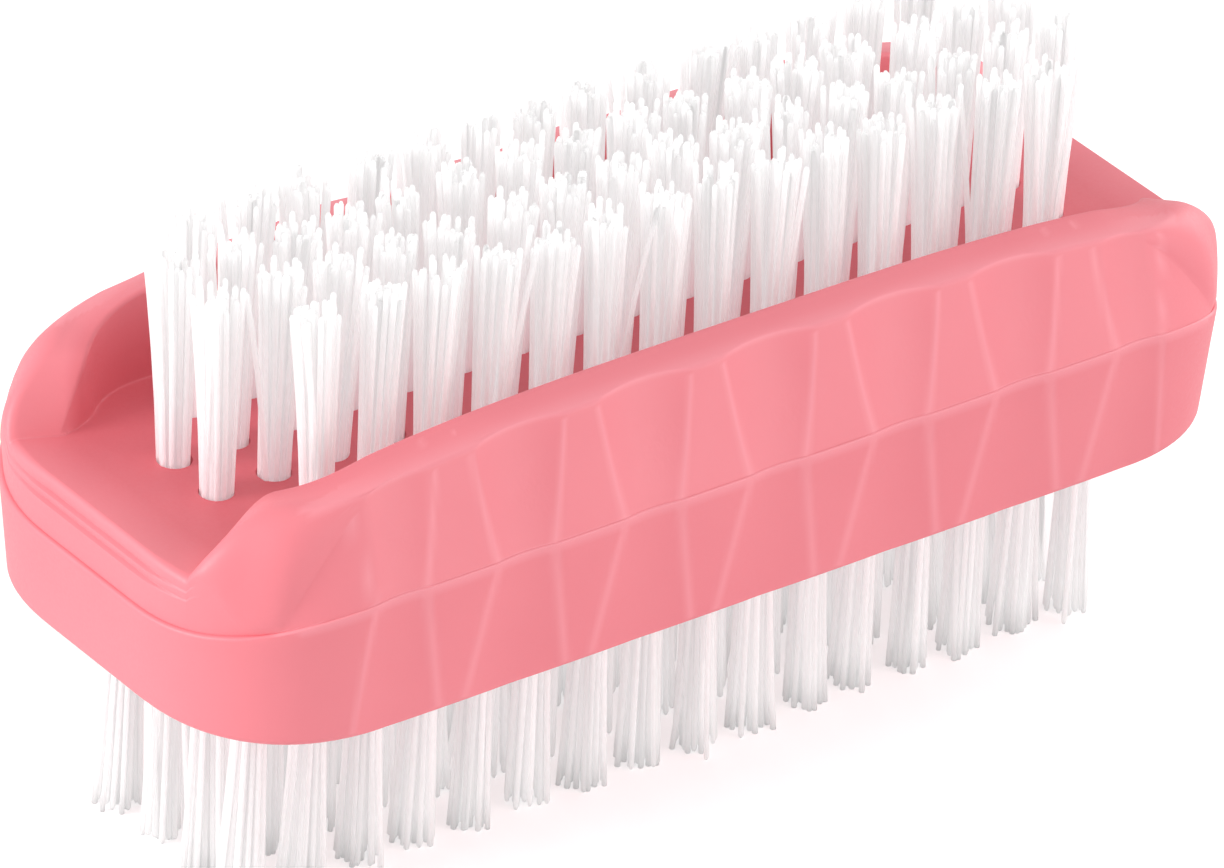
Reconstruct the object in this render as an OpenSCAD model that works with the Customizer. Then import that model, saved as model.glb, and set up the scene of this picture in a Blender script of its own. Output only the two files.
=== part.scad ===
// Two sided nail brush.
// Two mouldings meet at a seam round the sides. Each one carries four rows of stapled nylon tufts.
// The frame stands on the lower bristle tips: +Z is up, +X runs along the brush.

/* [Body outline] */
// Length of the body at the seam
seam_l = 91.6; // [84:0.2:100]
// Width of the body at the seam
seam_w = 38.1; // [37.1:0.2:44.1]
// Radius of the plan corners at the seam
corner_r = 13.9; // [11:0.1:16]
// How square the plan corners are: 2 is a circle
corner_power = 2.4; // [2:0.1:2.8]

/* [Lower moulding] */
// Height from the underside to the seam
lower_h = 11.2; // [9:0.1:13]
// How far the sides lean in towards the underside
lower_draft = 0.7; // [0.2:0.1:1.2]
// Round of the underside's edge
lower_edge_r = 0.8; // [0.4:0.1:1.2]

/* [Upper moulding] */
// Height of the deck above the seam
deck_h = 1.4; // [1.2:0.1:2.4]
// How far the seam drops at both ends
end_dip = 3.1; // [2:0.1:3.4]
// Length of the dropping stretch of the seam
dip_l = 14.5; // [11:0.1:16]
// Width of the soft edge of the deck at the ends
deck_edge_w = 0.9; // [0.7:0.05:1.4]
// Height of the soft edge of the deck at the ends
deck_edge_h = 0.6; // [0.4:0.05:0.9]
// Depth of each of the two shallow steps in the end faces
step_d = 0.22; // [0.1:0.02:0.3]

/* [Side walls] */
// Rise of the side walls above the deck at mid length
wall_rise = 8; // [6.5:0.1:9.5]
// How much lower the crest is where the corners start
wall_arch = 1.1; // [0.4:0.1:1.4]
// How late the crest bends down towards the corners
arch_power = 3.5; // [2:0.1:4]
// Distance from the seam outline to the foot of the wall
wall_foot = 6.25; // [6:0.05:6.8]
// The same distance at the ends of the wall
wall_end_foot = 4.1; // [3.8:0.1:5]
// Lean of the inner face
wall_lean = 0.45; // [0.2:0.05:0.7]
// Radius of the inner round of the crest
wall_inner_r = 0.3; // [0.2:0.05:0.6]
// Distance from the seam outline to the ridge along the top of the outer face
ridge_inset = 2.7; // [2:0.1:3.4]
// How far the ridge lies below the crest
ridge_drop = 0.75; // [0.5:0.05:1.1]
// Round of the ridge
ridge_r = 0.5; // [0.3:0.1:0.8]
// Width of the broad outer round at the corners
corner_round_w = 3.6; // [2.4:0.1:4.6]
// Height of the broad outer round at the corners
corner_round_h = 8; // [5:0.1:8.4]

/* [Grip scoops] */
// Number of scoops along each side of each moulding
scoop_count = 7; // [5:1:7]
// Distance from scoop to scoop
scoop_pitch = 10.9; // [9:0.1:11]
// Radius of the gouge that shapes a scoop
scoop_r = 12; // [9:0.5:16]
// Depth of a scoop at the seam
scoop_seam_d = 0.24; // [0.1:0.02:0.3]
// Depth of an upper scoop at the ridge
upper_scoop_d = 0.8; // [0.4:0.05:0.9]
// Depth of a lower scoop at the underside
lower_scoop_d = 0.75; // [0.4:0.05:0.9]

/* [Joint of the mouldings] */
// Distance from the seam outline to the spigot
spigot_inset = 4; // [3.6:0.1:4.6]
// Clearance between spigot and pocket
spigot_gap = 0.1; // [0.05:0.05:0.3]
// Radius of the locating pegs
peg_r = 1.4; // [1:0.1:1.6]
// Length of the pegs below the spigot
peg_l = 3.4; // [2.5:0.1:4]
// Clearance round a peg
peg_gap = 0.05; // [0.02:0.01:0.1]
// Distance from the middle plane to the pegs
peg_y = 12.2; // [11.8:0.1:12.6]
// Distance from peg to peg along the brush
peg_pitch = 27; // [20:0.5:30]

/* [Tuft grid] */
// Tufts in a full row
column_count = 16; // [12:2:16]
// Distance between tufts along a row
pitch_x = 4.88; // [4.6:0.01:5]
// Distance between rows
pitch_y = 5.1; // [4.9:0.05:5.4]
// Radius of a tuft hole
hole_r = 1.3; // [1.15:0.05:1.4]
// Plastic left between a tuft hole and the joint of the mouldings
hole_floor_t = 1.5; // [1.2:0.1:1.8]

/* [Bristles] */
// Free length of the upper bristles
upper_free = 16.4; // [12:0.2:20]
// Free length of the lower bristles
lower_free = 18.3; // [14:0.1:22]
// Spread of the tip heights of the upper bristles
tip_spread_h = 0.7; // [0:0.1:1.2]
// Depth by which the lower tips are trimmed flat
tip_trim = 0.5; // [0.3:0.1:0.8]
// Modelled strands in a tuft
strand_count = 3; // [3:1:4]
// Radius of a modelled strand
strand_r = 0.44; // [0.3:0.02:0.46]
// Distance from a tuft's axis to the roots of its strands
strand_offset = 0.68; // [0.64:0.02:0.7]
// How far a strand moves out from its tuft's axis on the way to its tip
splay_w = 0.9; // [0.4:0.1:1.1]
// How far the tips of the outermost tufts lean out along the brush
fan_w = 0.7; // [0:0.1:1.2]
// How far the strands sink into their root
strand_sink = 0.8; // [0.5:0.1:1.2]
// Clearance between a tuft's root and its hole
root_gap = 0.05; // [0.03:0.01:0.1]
// Height by which the root stands out of its hole
root_proud = 0.5; // [0.2:0.1:1]

/* [Anchors] */
// Length by which the flat wire bites into the wall of the hole at each side
anchor_bite = 0.13; // [0.05:0.01:0.2]
// Height of the flat wire
anchor_h = 1.5; // [1:0.1:1.8]
// Thickness of the flat wire
anchor_t = 0.5; // [0.3:0.05:0.6]

/* [Hidden] */
pink = [0.96, 0.56, 0.6];
nylon = [0.95, 0.94, 0.93];
brass = [0.78, 0.7, 0.45];

// Overrun of every cutter
over = 1;

// Depth of a tuft hole, and of the spigot below the seam, so that both floors are equal
hole_depth = (deck_h + lower_h) / 2 - hole_floor_t;
spigot_h = (lower_h - deck_h) / 2;

// Levels
seam_z = lower_free + lower_h;
deck_z = seam_z + deck_h;
spigot_z = seam_z - spigot_h;

// Half sizes of the outline at the seam, and the start of its corners
half_l = seam_l / 2;
half_w = seam_w / 2;
corner_x = half_l - corner_r;
corner_y = half_w - corner_r;

// Angles round a corner at which a wall starts, over which it rises, and over which the end steps fade
wall_start = 20.5;
wall_ramp = 28;
step_fade = 26;
// Angle at which the broad round of a corner starts to turn into the leaning face with its ridge
lean_start = 54;
// How fast the end of a wall rises, and how late its broad round grows
rise_power = 2.5;
round_power = 2.5;
// Pieces of a corner and of a straight side
corner_steps = 10;
side_steps = 8;
// Shares of the turn at which the outer round and the ridge have points, and angles of the underside's edge
turn_shares = [0:0.2:1];
edge_angles = [30, 60, 90];
// Places of the end steps, and their slope, as shares of the height of the end face
low_step_share = 0.66;
high_step_share = 0.85;
step_slope_share = 0.05;

// Outline stations with y above zero, as [direction of x, angle, share of the straight side]
stations = [
    for (i = [0:corner_steps]) [1, 90 * i / corner_steps, 1],
    for (i = [1:side_steps - 1]) [0, 90, 1 - 2 * i / side_steps],
    for (i = [corner_steps:-1:0]) [-1, 90 * i / corner_steps, 1],
];
half_count = len(stations);
ring_count = 2 * half_count;

// Point of the outline at a station, moved in by d
function outline_xy(s, d) =
    let (r = corner_r - d)
    s[0] == 0
        ? [s[2] * corner_x, corner_y + r]
        : [
            s[0] * (corner_x + r * pow(cos(s[1]), 2 / corner_power)),
            corner_y + r * pow(sin(s[1]), 2 / corner_power),
        ];

// Whole outline, moved in by d
function outline(d) = [
    for (s = stations) outline_xy(s, d),
    for (i = [half_count - 1:-1:0])
        let (p = outline_xy(stations[i], d)) [p[0], -p[1]],
];

// Drop of the seam at a distance x from the middle
dip_r = dip_l * dip_l / (2 * end_dip);
function dip(x) = pow(max(0, abs(x) - half_l + dip_l), 2) / (2 * dip_r);

// Share of the full wall height at a station, 0 at the open ends
function ramp(s) =
    1 - pow(1 - min(1, max(0, (s[1] - wall_start) / wall_ramp)), rise_power);
// Share of the leaning face with its ridge, 0 round the ends and 1 along the sides
function lean_share(s) = sin(90 * max(0, (s[1] - lean_start) / (90 - lean_start)));
// Rise of the crest above the deck
function rise(s, x) = ramp(s) * (wall_rise - wall_arch * pow(abs(x) / corner_x, arch_power));
// Share of the end steps that is left at a station
function step_share(s) = s[0] == 0 ? 0 : max(0, 1 - s[1] / step_fade);

// Outer face of a wall round the corners and of the stepped ends, up to its broad round
function corner_face(step, base, face_h, round_w, round_h) = [
    [0, base],
    [0, base + face_h * low_step_share],
    [step, base + face_h * (low_step_share + step_slope_share)],
    [step, base + face_h * high_step_share],
    [2 * step, base + face_h * (high_step_share + step_slope_share)],
    for (g = turn_shares)
        [
            2 * step + (round_w - 2 * step) * (1 - cos(90 * g)),
            base + face_h + round_h * sin(90 * g),
        ],
];

// Outer face along the sides, which leans in up to a tight ridge
function side_face(base, top) =
    let (ridge = [ridge_inset, top - ridge_drop])
    let (lean = atan(ridge_inset / (ridge[1] - base)))
    let (slope = atan(ridge_drop / (wall_foot - wall_lean - ridge_inset)))
    let (out = [-cos(lean), sin(lean)])
    let (up = [-sin(slope), cos(slope)])
    let (middle = ridge - ridge_r * (out + up) / (1 + out * up))
    let (start = middle + ridge_r * out)
    [
        for (f = [0, low_step_share, low_step_share + step_slope_share, high_step_share, 1 - step_slope_share])
            [start[0] * f, base + (start[1] - base) * f],
        for (g = turn_shares)
            let (a = lean + (90 - slope - lean) * g)
            middle + ridge_r * [-cos(a), sin(a)],
    ];

// Section of the upper moulding at a station, as [inset, height above the middle of the seam]
function upper_section(s) =
    let (x = outline_xy(s, 0)[0])
    let (k = ramp(s))
    let (grown = pow(k, round_power))
    let (lean = lean_share(s))
    let (top = deck_h + rise(s, x))
    let (base = -dip(x))
    let (round_w = deck_edge_w + grown * (corner_round_w - deck_edge_w))
    let (full_h = deck_edge_h + grown * (corner_round_h - deck_edge_h))
    let (round_h = min(full_h, top - base - deck_edge_h))
    let (step = step_share(s) * step_d)
    let (face = corner_face(step, base, top - round_h - base, round_w, round_h))
    let (side = side_face(base, top))
    let (foot = wall_end_foot + k * (wall_foot - wall_end_foot))
    let (inner = foot - wall_lean)
    [
        for (i = [0:len(face) - 1])
            face[i] * (1 - lean) + side[i] * lean,
        [inner - wall_inner_r, top],
        [inner - wall_inner_r * (1 - sin(45)), top - k * wall_inner_r * (1 - cos(45))],
        [inner, top - k * wall_inner_r],
        [foot, deck_h],
    ];

// Section of the lower moulding at a station
function lower_section(s) =
    let (x = outline_xy(s, 0)[0])
    [
        [0, -dip(x)],
        [lower_draft, lower_edge_r - lower_h],
        for (g = edge_angles)
            [lower_draft + lower_edge_r * (1 - cos(g)), lower_edge_r * (1 - sin(g)) - lower_h],
    ];

// Ring of points of one section point, all round the outline
function section_ring(sections, k) = [
    for (i = [0:half_count - 1])
        let (p = outline_xy(stations[i], sections[i][k][0])) [p[0], p[1], seam_z + sections[i][k][1]],
    for (i = [half_count - 1:-1:0])
        let (p = outline_xy(stations[i], sections[i][k][0])) [p[0], -p[1], seam_z + sections[i][k][1]],
];

// Closed skin through a section that runs round the outline
// The first ring is closed by strips across the body, because the seam is curved. The last ring is flat.
module skin(sections, downward) {
    levels = len(sections[0]);
    points = [for (k = [0:levels - 1]) each section_ring(sections, k)];
    sides = [
        for (k = [0:levels - 2])
            for (i = [0:ring_count - 1])
                let (j = (i + 1) % ring_count)
                let (a = k * ring_count + i)
                let (b = k * ring_count + j)
                each [[a, a + ring_count, b], [b, a + ring_count, b + ring_count]],
    ];
    strips = [
        for (i = [0:half_count - 2])
            [i, i + 1, ring_count - 2 - i, ring_count - 1 - i],
    ];
    last = [for (i = [ring_count - 1:-1:0]) (levels - 1) * ring_count + i];
    faces = concat(sides, strips, [last]);
    polyhedron(points, downward ? [for (f = faces) [for (i = [len(f) - 1:-1:0]) f[i]]] : faces);
}

// Places of the tufts of a row, and of the pegs
grid_x = (column_count - 1) / 2 * pitch_x;
function row_y(row) = (row - 2.5) * pitch_y;
function column_x(column) = column * pitch_x - grid_x;
// A body too short for the whole grid has only the tufts whose holes end within the spigot's length
grid_limit = half_l - spigot_inset - hole_r;
function fits(column) = abs(column_x(column)) <= grid_limit;
// Above, the outer rows leave out their end tufts, where the walls turn in
function upper_columns(row) =
    let (skipped = row == 1 || row == 4 ? 1 : 0)
    [for (column = [skipped:column_count - 1 - skipped]) if (fits(column)) column];
function lower_columns(row) = [for (column = [0:column_count - 1]) if (fits(column)) column];

// A repeatable number from -1 to 1 for each tuft and strand
function vary(a, b, c) = sin(a * 127.1 + b * 311.7 + c * 74.7);

module at_upper_tufts() {
    for (row = [1:4])
        for (column = upper_columns(row))
            translate([column_x(column), row_y(row), 0])
                children();
}

module at_lower_tufts() {
    for (row = [1:4])
        for (column = lower_columns(row))
            translate([column_x(column), row_y(row), 0])
                children();
}

module at_pegs() {
    for (side = [-1, 1])
        for (i = [-1:1])
            translate([i * peg_pitch, side * peg_y, 0])
                children();
}

// Gouges along both sides that reach a depth over a run: dir 1 cuts above the seam and -1 below it
module scoops(dir, depth, run) {
    tilt = atan((depth - scoop_seam_d) / run);
    reach = 2 * scoop_r;
    for (side = [0, 1])
        mirror([0, side, 0])
            for (i = [0:scoop_count - 1])
                translate([(i - (scoop_count - 1) / 2) * scoop_pitch, half_w - scoop_seam_d, seam_z])
                    rotate([dir * tilt, 0, 0])
                        translate([0, scoop_r, -reach])
                            cylinder(r = scoop_r, h = 2 * reach, $fn = 96);
}

module upper_body() {
    color(pink)
        difference() {
            union() {
                skin([for (s = stations) upper_section(s)], false);
                translate([0, 0, spigot_z])
                    linear_extrude(height = spigot_h + deck_h / 2)
                        polygon(outline(spigot_inset));
                at_pegs()
                    translate([0, 0, spigot_z - peg_l])
                        cylinder(r = peg_r, h = peg_l + over, $fn = 12);
            }
            at_upper_tufts()
                translate([0, 0, deck_z - hole_depth])
                    cylinder(r = hole_r, h = hole_depth + over, $fn = 8);
            scoops(1, ridge_inset + upper_scoop_d, deck_h + wall_rise - ridge_drop);
        }
}

module lower_body() {
    color(pink)
        difference() {
            skin([for (s = stations) lower_section(s)], true);
            translate([0, 0, spigot_z - spigot_gap])
                linear_extrude(height = spigot_h + spigot_gap + over)
                    polygon(outline(spigot_inset - spigot_gap));
            at_pegs()
                translate([0, 0, spigot_z - peg_l - spigot_gap])
                    cylinder(r = peg_r + peg_gap, h = peg_l + spigot_gap + over, $fn = 12);
            at_lower_tufts()
                translate([0, 0, lower_free - over])
                    cylinder(r = hole_r, h = hole_depth + over, $fn = 8);
            scoops(-1, lower_scoop_d + lower_draft, lower_h);
        }
}

// One tuft that grows up from zero: its root stands on the anchor, and strands splay from it
module tuft(row, column, free, spread) {
    translate([0, 0, anchor_h - hole_depth])
        cylinder(r = hole_r - root_gap, h = hole_depth - anchor_h + root_proud, $fn = 8);
    fan = atan(fan_w / free) * column_x(column) / grid_x;
    rotate([0, fan, 0])
        for (i = [0:strand_count - 1])
            rotate([0, 0, 360 * i / strand_count + 45 + 12 * vary(row, column, i)])
                translate([strand_offset, 0, root_proud - strand_sink])
                    rotate([0, atan(splay_w / free), 0])
                        cylinder(
                            r = strand_r,
                            h = free + strand_sink - root_proud + spread * vary(column, i, row),
                            $fn = 3
                        );
}

module upper_tuft_row(row) {
    color(nylon)
        for (column = upper_columns(row))
            translate([column_x(column), row_y(row), deck_z])
                tuft(row, column, upper_free, tip_spread_h);
}

// The lower tips run past the resting plane and are trimmed flat there
module lower_tuft_row(row) {
    color(nylon)
        difference() {
            for (column = lower_columns(row))
                translate([column_x(column), row_y(row), lower_free])
                    mirror([0, 0, 1])
                        tuft(row, column, lower_free + tip_trim, 0);
            translate([-seam_l, -seam_w, -2 * tip_trim])
                cube([2 * seam_l, 2 * seam_w, 2 * tip_trim]);
        }
}

// Flat wires across the bottoms of a row's holes
module anchor_row(row, columns, z) {
    wire_l = 2 * (hole_r + anchor_bite);
    color(brass)
        for (column = columns)
            translate([column_x(column) - wire_l / 2, row_y(row) - anchor_t / 2, z])
                cube([wire_l, anchor_t, anchor_h]);
}

module upper_anchor_row(row) {
    anchor_row(row, upper_columns(row), deck_z - hole_depth);
}

module lower_anchor_row(row) {
    anchor_row(row, lower_columns(row), lower_free + hole_depth - anchor_h);
}

upper_body();
lower_body();
upper_tuft_row(1);  // upper_tuft_row_1
upper_tuft_row(2);  // upper_tuft_row_2
upper_tuft_row(3);  // upper_tuft_row_3
upper_tuft_row(4);  // upper_tuft_row_4
lower_tuft_row(1);  // lower_tuft_row_1
lower_tuft_row(2);  // lower_tuft_row_2
lower_tuft_row(3);  // lower_tuft_row_3
lower_tuft_row(4);  // lower_tuft_row_4
upper_anchor_row(1);  // upper_anchor_row_1
upper_anchor_row(2);  // upper_anchor_row_2
upper_anchor_row(3);  // upper_anchor_row_3
upper_anchor_row(4);  // upper_anchor_row_4
lower_anchor_row(1);  // lower_anchor_row_1
lower_anchor_row(2);  // lower_anchor_row_2
lower_anchor_row(3);  // lower_anchor_row_3
lower_anchor_row(4);  // lower_anchor_row_4
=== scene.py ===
# %% [markdown]
# # A two sided nail brush
# The brush is two pink plastic mouldings that meet at a seam, with four rows of stapled white nylon
# tufts above and four below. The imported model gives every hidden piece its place. This lesson
# dresses it: smooth mouldings and real filaments take the place of the plain solids, in the same
# spots and sizes, and then come the finishes, the floor, the lamps and the camera.

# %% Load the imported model
import math
import random
from functools import lru_cache

import bmesh
import bpy
import numpy as np
from mathutils import Matrix, Vector


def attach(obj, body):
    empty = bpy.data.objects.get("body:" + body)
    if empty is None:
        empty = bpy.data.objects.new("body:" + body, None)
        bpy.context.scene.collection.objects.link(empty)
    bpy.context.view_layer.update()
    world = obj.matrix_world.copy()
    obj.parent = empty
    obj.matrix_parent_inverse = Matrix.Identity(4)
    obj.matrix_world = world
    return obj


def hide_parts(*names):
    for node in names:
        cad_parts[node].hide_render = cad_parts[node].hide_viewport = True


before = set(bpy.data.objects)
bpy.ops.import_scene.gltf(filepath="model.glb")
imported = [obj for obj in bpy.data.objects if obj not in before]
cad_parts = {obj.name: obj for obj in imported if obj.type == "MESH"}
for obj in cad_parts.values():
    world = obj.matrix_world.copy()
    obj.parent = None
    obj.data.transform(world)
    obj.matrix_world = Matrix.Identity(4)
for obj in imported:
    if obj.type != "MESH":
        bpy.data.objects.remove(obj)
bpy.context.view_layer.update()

MM = 0.001
print("nodes:", len(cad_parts))

# %% [markdown]
# ## The plan of the body
# Seen from above, the body is a long bar with straight sides and big, slightly squared corners. A
# maker would draw it as two lines and four arcs of a superellipse. It could be traced freehand, but
# a formula keeps both mouldings on one outline, so that they meet exactly at the seam.

# %% Sizes of the body, in millimetres, with the height counted from the seam
SEAM_Z = 29.5
HALF_L, HALF_W = 45.8, 19.05
CORNER_R, CORNER_POWER = 13.9, 2.4
CORNER_X, CORNER_Y = HALF_L - CORNER_R, HALF_W - CORNER_R
DECK_H, LOWER_H = 1.4, 11.2
END_DIP, DIP_L = 3.1, 14.5


def place_of(u, inset):
    """Place on the outline moved inwards. u is the distance along the widest line of the body."""
    r = CORNER_R - inset
    past = min(1.0, max(0.0, (abs(u) - CORNER_X) / CORNER_R))
    x = math.copysign(min(abs(u), CORNER_X) + past * r, u)
    return x, CORNER_Y + r * (1 - past ** CORNER_POWER) ** (1 / CORNER_POWER)


def angle_at(u):
    """Angle round the corner, from 0 at the end of the body to 90 where the straight side begins."""
    past = min(1.0, max(0.0, (abs(u) - CORNER_X) / CORNER_R))
    return math.degrees(math.acos(past ** (CORNER_POWER / 2)))


def u_at(angle):
    """The other way round: u of an angle at the corner."""
    return CORNER_X + CORNER_R * math.cos(math.radians(angle)) ** (2 / CORNER_POWER)


def seam_drop(u):
    """How far the seam sinks towards the ends."""
    return max(0.0, abs(u) - HALF_L + DIP_L) ** 2 * END_DIP / DIP_L ** 2


print("half widths at the middle and near a corner:", place_of(0, 0)[1], round(place_of(38, 0)[1], 2))

# %% [markdown]
# ## Grip scoops
# Seven shallow hollows run along each side of each moulding, as if a round gouge had been drawn
# away from the seam while it sank in. They are narrow at the seam and wide at their far ends, and
# the upper ones slant a little to one side. They could be cut with cylinders, but such a shallow cut
# leaves ragged rims. Here the rings of the body are pressed in by a formula, and the points of each
# ring slide along it so that some of them lie exactly on the two rims of each scoop. That keeps the
# rims crisp.

# %% Depth of the scoops
SCOOP_PITCH, OUTER_SCOOP = 10.9, 3
SCOOP_R, LOW_SCOOP_R = 12.0, 22.0
SCOOP_SEAM_D, RIDGE_SCOOP_D, LOWER_SCOOP_D, SCOOP_SLANT = 0.24, 0.7, 0.45, 0.08
RIDGE_INSET, RIDGE_DROP, WALL_RISE, LOWER_DRAFT = 2.7, 0.75, 8.0, 0.7
RIDGE_Z = DECK_H + WALL_RISE - RIDGE_DROP
UPPER_SLOPE = (RIDGE_INSET + RIDGE_SCOOP_D - SCOOP_SEAM_D) / RIDGE_Z
LOWER_SLOPE = (LOWER_DRAFT + LOWER_SCOOP_D - SCOOP_SEAM_D) / LOWER_H


def scoop_middle(x):
    return SCOOP_PITCH * max(-OUTER_SCOOP, min(OUTER_SCOOP, round(x / SCOOP_PITCH)))


def scoop_limit(x, z):
    """Half width of the body at the floor of the nearest scoop."""
    slope, radius = UPPER_SLOPE, SCOOP_R
    if z < 0:
        slope, radius = LOWER_SLOPE, SCOOP_R + (LOW_SCOOP_R - SCOOP_R) * min(1, -z / LOWER_H)
    across = x - scoop_middle(x) - SCOOP_SLANT * max(0, z)
    return HALF_W - SCOOP_SEAM_D - slope * abs(z) + across ** 2 / (2 * radius)


print("half width of the body in a scoop at the seam and at the ridge:",
      round(scoop_limit(0, 0), 2), round(scoop_limit(SCOOP_SLANT * RIDGE_Z, RIDGE_Z), 2))

# %% Press a point into its scoop, and find the rims
RIM_SOFTNESS, RIDGE_SOFTNESS, SOFT_BELOW = 0.04, 0.18, 1.0
RIM_SEARCH, RIM_SURE, HALVINGS = (0.6, SCOOP_PITCH / 2 - 0.15), 0.7, 14


def press_scoop(x, y, z, proud):
    """Takes y in to the scoop with a small round at the rim. The ledge of the seam stays proud."""
    near_ridge = min(1, max(0, z - RIDGE_Z + SOFT_BELOW))
    soft = RIM_SOFTNESS + (RIDGE_SOFTNESS - RIM_SOFTNESS) * near_ridge
    limit = scoop_limit(x, z) + proud
    return 0.5 * (y + limit - math.sqrt((y - limit) ** 2 + soft ** 2))


def rim_place(middle, side, inset, z):
    """Distance from the middle of a scoop to its rim on one side, by halving the search."""
    near, far = RIM_SEARCH
    for _ in range(HALVINGS):
        guess = (near + far) / 2
        x, y = place_of(middle + side * guess, inset)
        if y > scoop_limit(x, z):
            near = guess
        else:
            far = guess
    return near


print("half width of a scoop at the seam and at the ridge:",
      round(rim_place(0, 1, 0, 0), 2), round(rim_place(0, 1, RIDGE_INSET, RIDGE_Z), 2))

# %% Stations along half of the outline, close together at the rims and at the ends of the walls
RIM = 3.6
# Distances from the middle of a scoop, closest together round its rim
HALF_CELL = [0.0, 0.7, 1.4, 2.1, 2.7, 3.15, 3.42, RIM, 3.78, 4.05, 4.4, 4.9, SCOOP_PITCH / 2]
SIDE_END = (OUTER_SCOOP + 0.5) * SCOOP_PITCH
CORNER_ANGLES = [0, 3, 6, 9, 12, 14.5, 16.5, 18, 19, 19.8, 20.3, 20.6, 20.9, 21.2, 21.6, 22.1, 22.7,
                 23.4, 24.2, 25.2, 26.4, 27.8, 29.4, 31.2, 33.2, 35.4, 37.8, 40.4, 43.2, 46.2, 49.4,
                 52.8, 56.4, 60, 63.8]
SCOOPS = range(-OUTER_SCOOP, OUTER_SCOOP + 1)
cell = sorted({-away for away in HALF_CELL} | set(HALF_CELL))
side_places = sorted({round(m * SCOOP_PITCH + away, 4) for m in SCOOPS for away in cell})
corner_places = [u_at(angle) for angle in CORNER_ANGLES]
stations = corner_places + side_places[::-1] + [-u for u in corner_places[::-1]]
print("stations on one half of the outline:", len(stations))
print("last corner angle:", round(angle_at(SIDE_END), 1))


# %% Slide the stations of a ring onto the rims
OVER_RIDGE = 1.0


def slide_to_rims(section, k):
    """section(u) lists (inset, height) of all rings at a station. Answers with u of ring k at each."""
    rims = {}
    for m in SCOOPS:
        for side in (-1, 1):
            inset, z = section(m * SCOOP_PITCH + side * RIM)[k]
            found = rim_place(m * SCOOP_PITCH, side, inset, z)
            rims[m, side] = found if inset < RIDGE_INSET + OVER_RIDGE and found > RIM_SURE else RIM
    placed = []
    for u in stations:
        if abs(u) < SIDE_END:
            middle = scoop_middle(u)
            side = 1 if u >= middle else -1
            rim, away, reach = rims[round(middle / SCOOP_PITCH), side], abs(u - middle), SCOOP_PITCH / 2
            if away <= RIM:
                away = rim * away / RIM
            else:
                away = rim + (reach - rim) * (away - RIM) / (reach - RIM)
            u = middle + side * away
        placed.append(u)
    return placed


seam_ring = slide_to_rims(lambda u: [(0, 0)], 0)
print("widest gap between stations at the seam:",
      round(max(a - b for a, b in zip(seam_ring, seam_ring[1:])), 2))

# %% [markdown]
# ## From rings to a moulding
# Each moulding is drawn as a stack of closed rings. The first ring is a filled circle. It is
# extruded again and again in edit mode, and every new rim is moved onto its ring, like pulling a
# sheet of clay up a mould. Subdividing a cube would need much more shaping by eye to reach the same
# measured sections.


# %% Where the points of a ring go
def ring_places(section, k):
    """(x, y, z) of ring k at each station of one half, with the scoops pressed in."""
    places = []
    for u in slide_to_rims(section, k):
        inset, z = section(u)[k]
        x, y = place_of(u, inset)
        if abs(u) < SIDE_END:
            y = press_scoop(x, y, z, max(0, -inset))
        places.append((x, y, z))
    return places


seam_places = ring_places(lambda u: [(0, 0)], 0)
print("least half width at the seam along a side:",
      round(min(y for x, y, z in seam_places if abs(x) < CORNER_X), 2))


# %% Draw a moulding out ring by ring
def draw_out(name, section):
    half, rings = len(stations), len(section(0.0))
    bpy.ops.object.select_all(action="DESELECT")
    bpy.ops.mesh.primitive_circle_add(vertices=2 * half, radius=HALF_L * MM, fill_type="NGON")
    piece = bpy.context.object
    piece.name = piece.data.name = name
    bpy.ops.object.mode_set(mode="EDIT")
    bpy.ops.mesh.select_mode(type="FACE")
    bpy.ops.mesh.select_all(action="SELECT")
    net = bmesh.from_edit_mesh(piece.data)
    turn = net.verts.layers.int.new("turn")
    net.verts.ensure_lookup_table()
    for i, v in enumerate(net.verts):
        v[turn] = i
    for k in range(rings):
        if k:
            bpy.ops.mesh.extrude_region_move()
            net = bmesh.from_edit_mesh(piece.data)
            turn = net.verts.layers.int["turn"]
        places = ring_places(section, k)
        for v in net.verts:
            if v.select:
                i = v[turn] if v[turn] < half else 2 * half - 1 - v[turn]
                side = 1 if v[turn] < half else -1
                x, y, z = places[i]
                v.co = (x * MM, side * y * MM, (z + SEAM_Z) * MM)
    bmesh.update_edit_mesh(piece.data)
    bpy.ops.mesh.select_all(action="SELECT")
    bpy.ops.mesh.normals_make_consistent(inside=False)
    bpy.ops.object.mode_set(mode="OBJECT")
    piece.data.attributes.remove(piece.data.attributes["turn"])
    print(name, "rings:", rings, "faces:", len(piece.data.polygons))
    return piece


# %% [markdown]
# ## The upper moulding
# It holds the open deck, whose ends step back twice, and two arched walls. Along the sides a wall
# leans in nearly flat up to a ridge that the scoops bite into, with a narrow band behind it up to
# the crest. Round the corners it turns into one broad round, and it rises steeply from the open
# ends. Below the deck a spigot reaches into the lower moulding.

# %% How the wall grows round the corner
WALL_START, WALL_RAMP, RISE_POWER = 20.5, 28, 2.5
WALL_ARCH, ARCH_POWER, LEAN_START, STEP_FADE = 1.1, 3.5, 54, 26
END_ANGLE, END_FADE = 62, 22


def wall_share(angle):
    return 1 - (1 - min(1, max(0, (angle - WALL_START) / WALL_RAMP))) ** RISE_POWER


def lean_share(angle):
    return math.sin(math.radians(90 * max(0, (angle - LEAN_START) / (90 - LEAN_START))))


def wall_top(u):
    arch = WALL_ARCH * (abs(u) / CORNER_X) ** ARCH_POWER
    return DECK_H + wall_share(angle_at(u)) * (WALL_RISE - arch)


def end_share(angle):
    return min(1, max(0, (END_ANGLE - angle) / END_FADE))


print("wall top at the middle and over the corner:", wall_top(0), round(wall_top(36), 2))

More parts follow.
